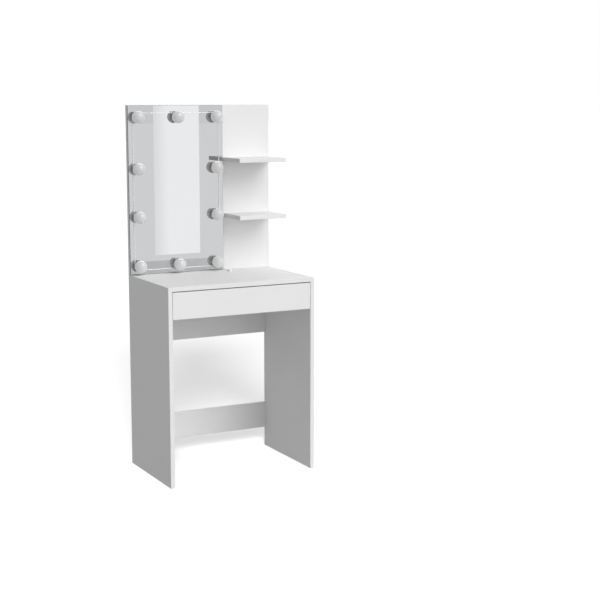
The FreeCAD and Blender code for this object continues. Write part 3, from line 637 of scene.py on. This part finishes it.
def make_glass(settings):
    """Flat plate: a rounded rectangle carried from the front face over two chamfers to the back.

    The rectangle's corner arcs are the corner points moved in by the radius plus radius * (cos a, sin a);
    each ring of the section is that outline drawn in by the chamfer at its own depth."""
    low, high = (np.array(corner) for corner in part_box("mirror_glass"))
    chamfer, corner = settings.chamfer, settings.corner
    quarter = np.linspace(0.0, 0.5 * np.pi, 5)
    turn = np.concatenate([quarter + start for start in (0.0, 0.5 * np.pi, np.pi, 1.5 * np.pi)])
    signs = np.repeat([(1, 1), (-1, 1), (-1, -1), (1, -1)], len(quarter), axis=0)
    half = (high - low)[[0, 2]] / 2.0
    middle = (high + low)[[0, 2]] / 2.0
    depths = [low[1], low[1], low[1] + chamfer, high[1] - chamfer, high[1], high[1]]
    insets = [half.min(), chamfer, 0.0, 0.0, chamfer, half.min()]
    rings = []
    for depth, inset in zip(depths, insets):
        arc = corner * np.stack([np.cos(turn), np.sin(turn)], axis=1)
        outline = middle + signs * (half - corner) + arc
        drawn = middle + (outline - middle) * (half - inset) / half
        rings.append(np.stack([drawn[:, 0], np.full(len(turn), depth), drawn[:, 1]], axis=1))
    plate = make_piece("mirror_plate", [skin(np.array(rings))], silver_material(settings), CARCASS,
                       ["mirror_glass"], bend=20.0)
    plate.data.materials.append(glass_edge_material(settings))
    normals = np.empty(3 * len(plate.data.polygons))
    plate.data.polygons.foreach_get("normal", normals)
    plate.data.polygons.foreach_set("material_index", (np.abs(normals[1::3]) < 0.9).astype(np.int32))


def make_globe(number, material, settings):
    """Hollow ball whose section is an arc out to the seat, a small bead and an arc back inside."""
    low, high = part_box(f"bulb_globe_{number}")
    radius = (high.x - low.x) / 2.0
    centre = np.array(((low.x + high.x) / 2.0, low.y + radius, (low.z + high.z) / 2.0))
    seat = high.y - centre[1]
    outer = np.linspace(0.0, np.arccos(-seat / radius), 30)
    inner_radius = radius - settings.wall
    inner = np.linspace(np.arccos(-seat / inner_radius), 0.0, 24)
    lip = radius * np.sin(outer[-1])
    bead = 0.0005
    ball, hollow = radius * np.sin(outer[:-1]), inner_radius * np.sin(inner)
    reach = np.concatenate([ball, [lip + bead, lip + bead], hollow])
    ball, hollow = radius * np.cos(outer[:-1]), inner_radius * np.cos(inner)
    height = np.concatenate([ball, [-seat + 2.0 * bead, -seat], hollow])
    make_piece(f"opal_globe_{number}", [turned(reach, height, centre, -Y)], material, CARCASS,
               [f"bulb_globe_{number}"])


def make_base(number, material, settings):
    """Cup with a ribbed flank: the flank's radius is lowered by depth * (1 + cos(ribs * a)) / 2."""
    low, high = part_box(f"bulb_base_{number}")
    mouth = (high.x - low.x) / 2.0
    rear = settings.rear_radius
    tall = high.y - low.y
    wall = 0.0015
    centre = np.array(((low.x + high.x) / 2.0, high.y, (low.z + high.z) / 2.0))
    steps = 4 * settings.ribs
    rib = settings.rib_depth * 0.5 * (1.0 + np.cos(settings.ribs * angles(steps)))
    # Radius, height and share of the ribs at each point of the section, from the rear's middle round.
    rows = [
        (0.0, 0.0, 0.0), (rear - 0.0006, 0.0, 0.0), (rear, 0.0006, 0.0), (rear + 0.0002, 0.0014, 0.0),
        (rear + 0.0004, 0.0020, 1.0), (mouth - 0.0012, tall - 0.0028, 1.0),
        (mouth - 0.0006, tall - 0.0022, 0.0), (mouth, tall - 0.0016, 0.0),
        (mouth, tall - 0.0004, 0.0), (mouth - 0.0004, tall, 0.0),
        (mouth - wall, tall, 0.0), (rear - wall, wall, 0.0), (0.0, wall, 0.0),
    ]
    reach, height, ribbed = (np.array(column) for column in zip(*rows))
    grid = reach[:, None] - ribbed[:, None] * rib
    make_piece(f"plated_base_{number}", [turned(grid, height, centre, -Y, steps)], material, CARCASS,
               [f"bulb_base_{number}"])


def make_tape_discs(material):
    """Foam tape discs: the flank is drawn in at both faces by waist * (1 - sin(pi * height))."""
    waist = 0.0004
    surfaces = []
    for low, high in solid_boxes("bulb_adhesive_pads"):
        radius, tall = (high[0] - low[0]) / 2.0, high[1] - low[1]
        rise = np.linspace(0.0, 1.0, 9)
        flank = radius - waist * (1.0 - np.sin(np.pi * rise))
        centre = ((low[0] + high[0]) / 2.0, high[1], (low[2] + high[2]) / 2.0)
        reach = np.concatenate([[0.0], flank, [0.0]])
        height = np.concatenate([[0.0], rise * tall, [tall]])
        surfaces.append(turned(reach, height, centre, -Y))
    make_piece("bulb_tape_discs", surfaces, material, CARCASS, ["bulb_adhesive_pads"])


# ---------------------------------------------------------------- lead and dimmer

def make_lead(settings, material):
    """The loose lead as a smooth curve through its route's control points."""
    curve = bpy.data.curves.new("loose_lead", "CURVE")
    curve.dimensions = "3D"
    spline = curve.splines.new("NURBS")
    spline.points.add(len(LEAD_ROUTE) - 1)
    for point, place in zip(spline.points, LEAD_ROUTE):
        point.co = (*place, 1.0)
    spline.order_u = 3
    spline.use_endpoint_u = True
    spline.resolution_u = 16
    curve.bevel_depth = settings.diameter / 2.0
    curve.bevel_resolution = 6
    curve.use_fill_caps = True
    curve.materials.append(material)
    lead = put("loose_lead", curve)
    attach(lead, CARCASS)
    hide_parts("lights_lead")


def make_dimmer(material):
    """Small case: a superellipse section carried along Y and drawn in at both ends, with a parting groove.

    The button is a low dome on top, and the collar a ribbed taper round the lead."""
    low, high = (np.array(corner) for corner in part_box("lights_dimmer"))
    half = (high - low) / 2.0
    middle = (high + low) / 2.0
    steps = 64
    across, up = squircle(steps, half[0], half[2], 4.0)
    along = np.sin(np.linspace(-0.5, 0.5, 41) * np.pi)
    taper = (1.0 - np.abs(along) ** 8.0) ** (1.0 / 4.0)
    groove = 1.0 - 0.05 * np.exp(-(up / (0.06 * half[2])) ** 2)
    case = np.stack([
        middle[0] + taper[:, None] * (across * groove),
        np.broadcast_to(middle[1] + half[1] * along[:, None], (len(along), steps)),
        middle[2] + taper[:, None] * up,
    ], axis=-1)
    rise = np.linspace(0.0, 0.5 * np.pi, 9)
    top = np.array((middle[0], middle[1] - 0.1 * half[1], high[2] - 0.0002))
    button = turned(np.concatenate([[0.0], 0.0024 * np.cos(rise)]),
                    np.concatenate([[-0.0004], 0.0005 * np.sin(rise)]), top, Z)
    run = np.linspace(0.0, 1.0, 25)
    ribbed = 0.0022 - 0.0006 * run + 0.00015 * np.cos(8.0 * np.pi * run)
    outlet = np.array((LEAD_ROUTE[-1][0], high[1] - 0.0008, LEAD_ROUTE[-1][2] + 0.0006))
    collar = turned(np.concatenate([[0.0], ribbed, [0.0]]), np.concatenate([[0.0], 0.005 * run, [0.005]]),
                    outlet, Y, 24)
    return make_piece("dimmer_case", [skin(case), button, collar], material, CARCASS,
                      ["lights_dimmer"])


# ---------------------------------------------------------------- fittings

def screw(point, axis, head, shank, long, dome, pitch=0.0018):
    """Screw with a cross recess and a rolled thread; the axis points out of the head.

    The head is a shallow dome or a flat top over a cone; the thread's radius is the shank's plus
    depth * |1 - 2 * frac(height / pitch + angle / turn)|, faded in under the head and out at the tip."""
    steps = 24
    rings = np.linspace(0.0, 1.0, 10)
    reach = head * rings
    top = dome * (1.0 - rings ** 2.5)
    face = top[:, None] - cross_recess(reach, steps, 0.62 * head, 0.16 * head, 0.35 * head)
    neck = 0.0 if dome else head - shank
    height = np.linspace(-neck - 0.0004, -long, max(12, int(long / pitch * 6)))
    wave = np.abs(1.0 - 2.0 * np.mod(height[:, None] / pitch + angles(steps) / (2.0 * np.pi), 1.0))
    fade = smooth(-height, neck, neck + 0.003) * (1.0 - smooth(-height, long - 0.004, long))
    tip = 1.0 - smooth(-height, long - 0.006, long)
    thread = 0.82 * shank * tip[:, None] + 0.18 * shank * wave * fade[:, None]
    rows = np.vstack([
        np.broadcast_to(reach[:, None], (len(reach), steps)),
        np.full((1, steps), head),
        np.full((1, steps), 0.82 * shank),
        thread,
    ])
    under = -0.0002 if dome == 0.0 else 0.0
    levels = np.vstack([
        face,
        np.full((1, steps), under),
        np.full((1, steps), -neck),
        np.broadcast_to(height[:, None], (len(height), steps)),
    ])
    return turned(rows, levels, point, axis, steps)


def end_of(box, axis):
    """Middle of the box's face that looks along the axis, and the box's length that way."""
    low, high = box
    middle = (low + high) / 2.0
    half = (high - low) / 2.0
    return middle + axis * half, 2.0 * abs(np.dot(half, axis))


def make_flat_screws(name, node, shank, material):
    """Countersunk screws that look out of the back."""
    surfaces = []
    for box in solid_boxes(node):
        point, long = end_of(box, Y)
        surfaces.append(screw(point, Y, (box[1][0] - box[0][0]) / 2.0, shank, long, 0.0))
    make_piece(name, surfaces, material, CARCASS, [node])


def make_dome_screws(name, node, facing, body, material):
    """Domed runner screws; facing is 1 where the heads look toward the middle and -1 away from it."""
    cap, shank = 0.001, 0.00175
    surfaces = []
    for box in solid_boxes(node):
        side = np.sign(box[0][0] + box[1][0])
        axis = -facing * side * X
        point, long = end_of(box, axis)
        head = (box[1][2] - box[0][2]) / 2.0
        surfaces.append(screw(point - axis * cap, axis, head, shank, long - cap, cap))
    make_piece(name, surfaces, material, body, [node])


def make_cams(name, node, axes, body, material):
    """Cam locks: a disc with a raised rim, a cross recess and a pointer notch at its edge.

    The face's height is minus the recess, minus a ring groove exp(-((r - g) / w)^2), minus the notch."""
    steps = 48
    rings = np.linspace(0.0, 1.0, 16)
    surfaces = []
    for box in solid_boxes(node):
        axis = axes(box)
        point, deep = end_of(box, axis)
        flat = np.abs(axis) < 0.5
        radius = (box[1] - box[0])[flat].max() / 2.0
        reach = radius * rings
        groove = 0.0004 * np.exp(-((rings - 0.82) / 0.05) ** 2)
        turn = np.abs(np.mod(angles(steps) + np.pi, 2.0 * np.pi) - np.pi)
        notch = 0.0006 * smooth(rings, 0.6, 0.7)[:, None] * (1.0 - smooth(turn, 0.10, 0.2))
        cross = cross_recess(reach, steps, 0.5 * radius, 0.12 * radius, 0.3 * radius)
        face = -groove[:, None] - cross - notch
        sides = np.array([(1.0, -0.0003), (1.0, -deep), (0.0, -deep)])
        reach_rows = np.concatenate([reach, radius * sides[:, 0]])
        level_rows = np.vstack([face, np.broadcast_to(sides[:, 1:], (3, steps))])
        surfaces.append(turned(reach_rows, level_rows, point, axis, steps))
    make_piece(name, surfaces, material, body, [node])


def make_roller(node, material):
    """Wheel with eased rims, a hub ring and six shallow pockets in each face.

    Each face sinks by depth * smooth(web) * smooth(cos(6 a)) between the hub and the rim."""
    low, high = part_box(node)
    radius = (high.y - low.y) / 2.0
    wide = high.x - low.x
    steps = 72
    centre = np.array((low.x, (low.y + high.y) / 2.0, (low.z + high.z) / 2.0))
    bore = 0.00205
    rings = np.linspace(bore, radius - 0.0006, 18)
    hub_side = smooth(rings, bore + 0.0016, bore + 0.0022)
    web = hub_side * (1.0 - smooth(rings, radius - 0.0026, radius - 0.0019))
    pocket = 0.0011 * web[:, None] * smooth(np.cos(6.0 * angles(steps)), -0.4, 0.1)
    rim = np.array([radius - 0.0002, radius, radius, radius - 0.0002])
    rim_rise = np.array([0.0002, 0.0006, wide - 0.0006, wide - 0.0002])
    reach = np.concatenate([rings, rim, rings[::-1], [bore]])
    rise = np.vstack([
        pocket,
        np.broadcast_to(rim_rise[:, None], (4, steps)),
        wide - pocket[::-1],
        np.zeros((1, steps)),
    ])
    wheel = turned(reach, rise, centre, X, steps)
    make_piece(f"{node}_wheel", [wheel], material, node, [node])


def make_pins(name, node, body, material):
    """Riveted pins: a shank with a shoulder and a domed head r = a * cos, h = b * sin of one angle."""
    dome, shank, wide = 0.0008, 0.002, 0.0035
    shoulder_start, shoulder_end = 0.0032, 0.0012
    arc = np.linspace(0.5 * np.pi, 0.0, 8)
    surfaces = []
    for low, high in solid_boxes(node):
        side = np.sign(low[0] + high[0])
        head_out = -side if body == CARCASS else side
        axis = head_out * X
        point, long = end_of((low, high), axis)
        near, far = shoulder_start - long, shoulder_end - long
        head = (high[2] - low[2]) / 2.0
        reach = np.concatenate([head * np.cos(arc), [shank, shank, wide, wide, shank, shank, 0.0]])
        rise = np.concatenate([dome * (np.sin(arc) - 1.0),
                               [-dome, near, near, far, far, -long, -long]])
        surfaces.append(turned(reach, rise, point, axis, 32))
    make_piece(name, surfaces, material, body, [node])


# ---------------------------------------------------------------- stage

# The mirror shows a light only if it stands higher than this, out of the level view.
LOWEST_MIRRORED = math.radians(30.0)

# Azimuth, elevation and spread in degrees of the lights that aren't the key.
FRONT_LIGHT = (25.0, 5.0, 50.0)
REAR_LIGHT = (150.0, 35.0, 60.0)
FLOOR_LIGHT = (-22.0, 27.0, 16.0)
KEY_SPREAD = 45.0

# The strip lamp from the table's low corner, and its strength: where it starts and ends to the
# right, how far ahead it stands, how high it is, and the width of its soft side.
STRIP_LEFT, STRIP_RIGHT, STRIP_AHEAD, STRIP_TOP = 2.645, 3.09, 6.0, 6.0
STRIP_SOFT, STRIP_DIM, STRIP_GAIN = 0.16, 1.2, 0.22

FLOOR_REACH = 60.0


def direction(azimuth, elevation):
    """Unit vector toward an azimuth (0 is the front, the left is negative) and an elevation."""
    return Vector((math.sin(azimuth) * math.cos(elevation), -math.cos(azimuth) * math.cos(elevation),
                   math.sin(elevation)))


def far_light(name, azimuth, elevation, spread, radiance, receivers):
    """Distant soft light; its strength is pi times the radiance of a white face square to it."""
    lamp = bpy.data.lights.new(name, "SUN")
    lamp.angle = spread
    lamp.energy = math.pi * radiance
    thing = put(name, lamp)
    thing.rotation_euler = direction(azimuth, elevation).to_track_quat("Z", "Y").to_euler()
    thing.visible_glossy = elevation > LOWEST_MIRRORED
    thing.light_linking.receiver_collection = receivers


def seen_sharply(web):
    """1 for what the eye sees directly or in the mirror, 0 for scattered light."""
    path = web.add("ShaderNodeLightPath").outputs
    return web.math("MAXIMUM", path["Is Camera Ray"], path["Is Singular Ray"])


def make_world(ambient):
    """Surroundings: white to the camera and in the mirror, and a dimmer even light for the rest."""
    world = bpy.data.worlds.new("studio")
    bpy.context.scene.world = world
    world.use_nodes = True
    web = Web(world.node_tree)
    seen = seen_sharply(web)
    strength = web.math("ADD", ambient, web.math("MULTIPLY", seen, 1.0 - ambient))
    back = world.node_tree.nodes["Background"]
    web.feed(back.inputs["Color"], (1.0, 1.0, 1.0))
    web.feed(back.inputs["Strength"], strength)


def make_floor(settings):
    """Wide pale floor that glows enough to the eye to meet the white surroundings without a line."""
    reach = FLOOR_REACH
    corners = [(-reach, -reach, 0.0), (reach, -reach, 0.0), (reach, reach, 0.0), (-reach, reach, 0.0)]
    mesh = bpy.data.meshes.new("floor")
    mesh.from_pydata(corners, [], [(0, 1, 2, 3)])
    floor = put("floor", mesh)
    material, web, shader = new_material("pale_floor")
    seen = seen_sharply(web)
    cloud = web.noise(1.5, 2.0)
    pale = tuple(settings.floor)
    clouded = web.blend(cloud.outputs["Fac"], pale, darker(pale, 0.985))
    web.feed(shader["Base Color"], web.blend(seen, tuple(settings.bounce), clouded))
    web.feed(shader["Roughness"], 0.9)
    web.feed(shader["Specular IOR Level"], 0.0)
    web.feed(shader["Emission Color"], (1.0, 1.0, 1.0))
    web.feed(shader["Emission Strength"], web.math("MULTIPLY", seen, settings.glow))
    mesh.materials.append(material)
    return floor


def receivers(name, thing, state):
    """Collection that a light looks up: it lights only the thing, or everything but the thing."""
    group = bpy.data.collections.new(name)
    group.objects.link(thing)
    group.collection_objects[0].light_linking.link_state = state
    return group


def make_strip():
    """Tall strip lamp that only reflections see: it stands ahead and to the right, soft on its left side."""
    low = CAD_BOX[0]
    left, right, near = low.x + STRIP_LEFT, low.x + STRIP_RIGHT, low.y - STRIP_AHEAD
    corners = [(left, near, 0.0), (right, near, 0.0), (right, near, STRIP_TOP), (left, near, STRIP_TOP)]
    mesh = bpy.data.meshes.new("strip_lamp")
    mesh.from_pydata(corners, [], [(0, 1, 2, 3)])
    strip = put("strip_lamp", mesh)
    material, web, shader = new_material("strip_glow")
    place = web.add("ShaderNodeTexCoord").outputs["Object"]
    across = web.add("ShaderNodeSeparateXYZ", {0: place}).outputs[0]
    rise = web.between(across, left - 0.02, left + STRIP_SOFT)
    web.feed(shader["Base Color"], (0.0, 0.0, 0.0))
    web.feed(shader["Emission Color"], (1.0, 1.0, 1.0))
    strength = web.math("ADD", STRIP_DIM, web.math("MULTIPLY", rise, STRIP_GAIN))
    web.feed(shader["Emission Strength"], strength)
    mesh.materials.append(material)
    strip.visible_camera = False
    strip.visible_diffuse = False
    strip.visible_shadow = False


def make_camera(settings):
    """Camera that looks at a point beside and below the middle of the table."""
    low, high = CAD_BOX
    back = direction(settings.azimuth, settings.elevation)
    facing = back.to_track_quat("Z", "Y")
    aim = (low + high) / 2.0 + facing @ Vector((settings.aside, -settings.below, 0.0))
    camera = bpy.data.cameras.new("camera")
    camera.lens = settings.lens
    thing = put("camera", camera)
    thing.location = aim + back * settings.distance
    thing.rotation_euler = facing.to_euler()
    bpy.context.scene.camera = thing


# ---------------------------------------------------------------- operators

class VanityOperator(bpy.types.Operator):
    """What every step shares."""
    bl_options = {"REGISTER", "UNDO"}


class VANITY_OT_boards(VanityOperator):
    """Coat every board and the drawer floor."""
    bl_idname = "vanity.boards"
    bl_label = "Boards"

    def execute(self, context):
        settings = context.scene.vanity_boards
        for node, axis in BOARDS.items():
            low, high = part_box(node)
            cover(board_material(node, tuple(low), tuple(high), tuple((X, Y, Z)[axis]), settings), node)
        cover(hardboard_material(settings), "drawer_floor")
        return {"FINISHED"}


class VANITY_OT_mirror(VanityOperator):
    """Make the mirror plate and the foam tape behind it."""
    bl_idname = "vanity.mirror"
    bl_label = "Mirror"

    def execute(self, context):
        make_glass(context.scene.vanity_mirror)
        cover(foam_material(context.scene.vanity_fittings), "mirror_tape_strips")
        return {"FINISHED"}


class VANITY_OT_bulbs(VanityOperator):
    """Make the globes, the plated bases, their tape discs and lamp boards."""
    bl_idname = "vanity.bulbs"
    bl_label = "Bulbs"

    def execute(self, context):
        settings = context.scene.vanity_bulbs
        opal = opal_material(settings)
        plated = plated_material(settings)
        for number in BULBS:
            make_globe(number, opal, settings)
            make_base(number, plated, settings)
        make_tape_discs(foam_material(context.scene.vanity_fittings))
        cover(lamp_board_material(), "bulb_lamp_boards")
        return {"FINISHED"}


class VANITY_OT_cables(VanityOperator):
    """Make the loose lead with its dimmer, and sleeve the cable round the mirror."""
    bl_idname = "vanity.cables"
    bl_label = "Cables"

    def execute(self, context):
        settings = context.scene.vanity_cables
        sleeve = moulded_material("cable_sleeve", tuple(settings.sleeve), 0.35)
        dimmer = make_dimmer(moulded_material("dimmer_shell", tuple(settings.case), 0.32))
        make_lead(settings, sleeve)
        # Painted glow: the sleeve of the cable round the mirror gives off light, though it is no lamp.
        clear = moulded_material("sleeve_painted_glow", tuple(settings.sleeve), 0.35, settings.clear)
        cover(clear, "mirror_cable")
        return {"FINISHED"}


class VANITY_OT_fittings(VanityOperator):
    """Make the screws and cam locks, and finish the plates, bolts and dowels."""
    bl_idname = "vanity.fittings"
    bl_label = "Fittings"

    def execute(self, context):
        settings = context.scene.vanity_fittings
        steel = zinc_material("fastener_zinc", settings)
        cast = zinc_material("cam_zinc", settings, 0.9)
        make_flat_screws("shelf_screw_heads", "shelf_screws", 0.0025, steel)
        make_flat_screws("plate_screw_heads", "joining_plate_screws", 0.002, steel)
        make_cams("rail_and_top_cams", "carcass_cam_locks",
                  lambda box: -Z if box[0][2] > TOP_CAMS_ABOVE else Y, CARCASS, cast)
        make_cams("drawer_cams", "drawer_cam_locks", lambda box: -np.sign(box[0][0]) * X, DRAWER, cast)
        cover(zinc_material("plate_zinc", settings, 0.95), "joining_plates")
        cover(steel, "carcass_cam_bolts", "drawer_cam_bolts")
        cover(beech_material(settings), "wood_dowels")
        return {"FINISHED"}


class VANITY_OT_runners(VanityOperator):
    """Enamel the runners, and make their screws, rollers and pins."""
    bl_idname = "vanity.runners"
    bl_label = "Runners"

    def execute(self, context):
        settings = context.scene.vanity_fittings
        steel = zinc_material("runner_screw_zinc", settings)
        nylon = moulded_material("roller_nylon", tuple(settings.nylon), 0.4)
        cover(enamel_material(settings), "cabinet_runner_left", "cabinet_runner_right",
              "drawer_runner_left", "drawer_runner_right")
        make_dome_screws("cabinet_runner_screw_heads", "cabinet_runner_screws", 1, CARCASS, steel)
        make_dome_screws("drawer_runner_screw_heads", "drawer_runner_screws", -1, DRAWER, steel)
        for node in ("cabinet_roller_left", "cabinet_roller_right",
                     "drawer_roller_left", "drawer_roller_right"):
            make_roller(node, nylon)
        make_pins("cabinet_pins", "cabinet_roller_pins", CARCASS, steel)
        make_pins("drawer_pins", "drawer_roller_pins", DRAWER, steel)
        return {"FINISHED"}


class VANITY_OT_stage(VanityOperator):
    """Set the floor, the surroundings, the lights and the camera."""
    bl_idname = "vanity.stage"
    bl_label = "Stage"

    def execute(self, context):
        settings = context.scene.vanity_stage
        context.scene.view_settings.view_transform = "Standard"
        make_camera(settings)
        make_world(settings.ambient)
        floor = make_floor(settings)
        make_strip()
        table = receivers("table_only", floor, "EXCLUDE")
        ground = receivers("floor_only", floor, "INCLUDE")
        far_light("key_light", settings.key_azimuth, settings.key_elevation, math.radians(KEY_SPREAD),
                  settings.key, table)
        far_light("front_light", *map(math.radians, FRONT_LIGHT), settings.fill, table)
        far_light("rear_light", *map(math.radians, REAR_LIGHT), settings.rear, table)
        far_light("floor_light", *map(math.radians, FLOOR_LIGHT), settings.ground, ground)
        return {"FINISHED"}


OPERATORS = [
    VANITY_OT_stage, VANITY_OT_cables, VANITY_OT_boards, VANITY_OT_mirror, VANITY_OT_bulbs,
    VANITY_OT_fittings, VANITY_OT_runners,
]


class VANITY_PT_looks(bpy.types.Panel):
    """Steps and settings of the vanity table's looks."""
    bl_idname = "VANITY_PT_looks"
    bl_label = "Vanity table"
    bl_space_type = "VIEW_3D"
    bl_region_type = "UI"
    bl_category = "Vanity"

    def draw(self, context):
        for operator in OPERATORS:
            self.layout.operator(operator.bl_idname)
        for name in SETTINGS:
            group = getattr(context.scene, name)
            for key in group.__annotations__:
                self.layout.prop(group, key)


CLASSES = [*SETTINGS.values(), *OPERATORS, VANITY_PT_looks]


def register():
    for made in CLASSES:
        bpy.utils.register_class(made)
    for name, group in SETTINGS.items():
        setattr(bpy.types.Scene, name, PointerProperty(type=group))


def unregister():
    for name in SETTINGS:
        delattr(bpy.types.Scene, name)
    for made in reversed(CLASSES):
        bpy.utils.unregister_class(made)


def main():
    register()
    for operator in OPERATORS:
        group, name = operator.bl_idname.split(".")
        getattr(getattr(bpy.ops, group), name)()


if __name__ == "__main__":
    main()
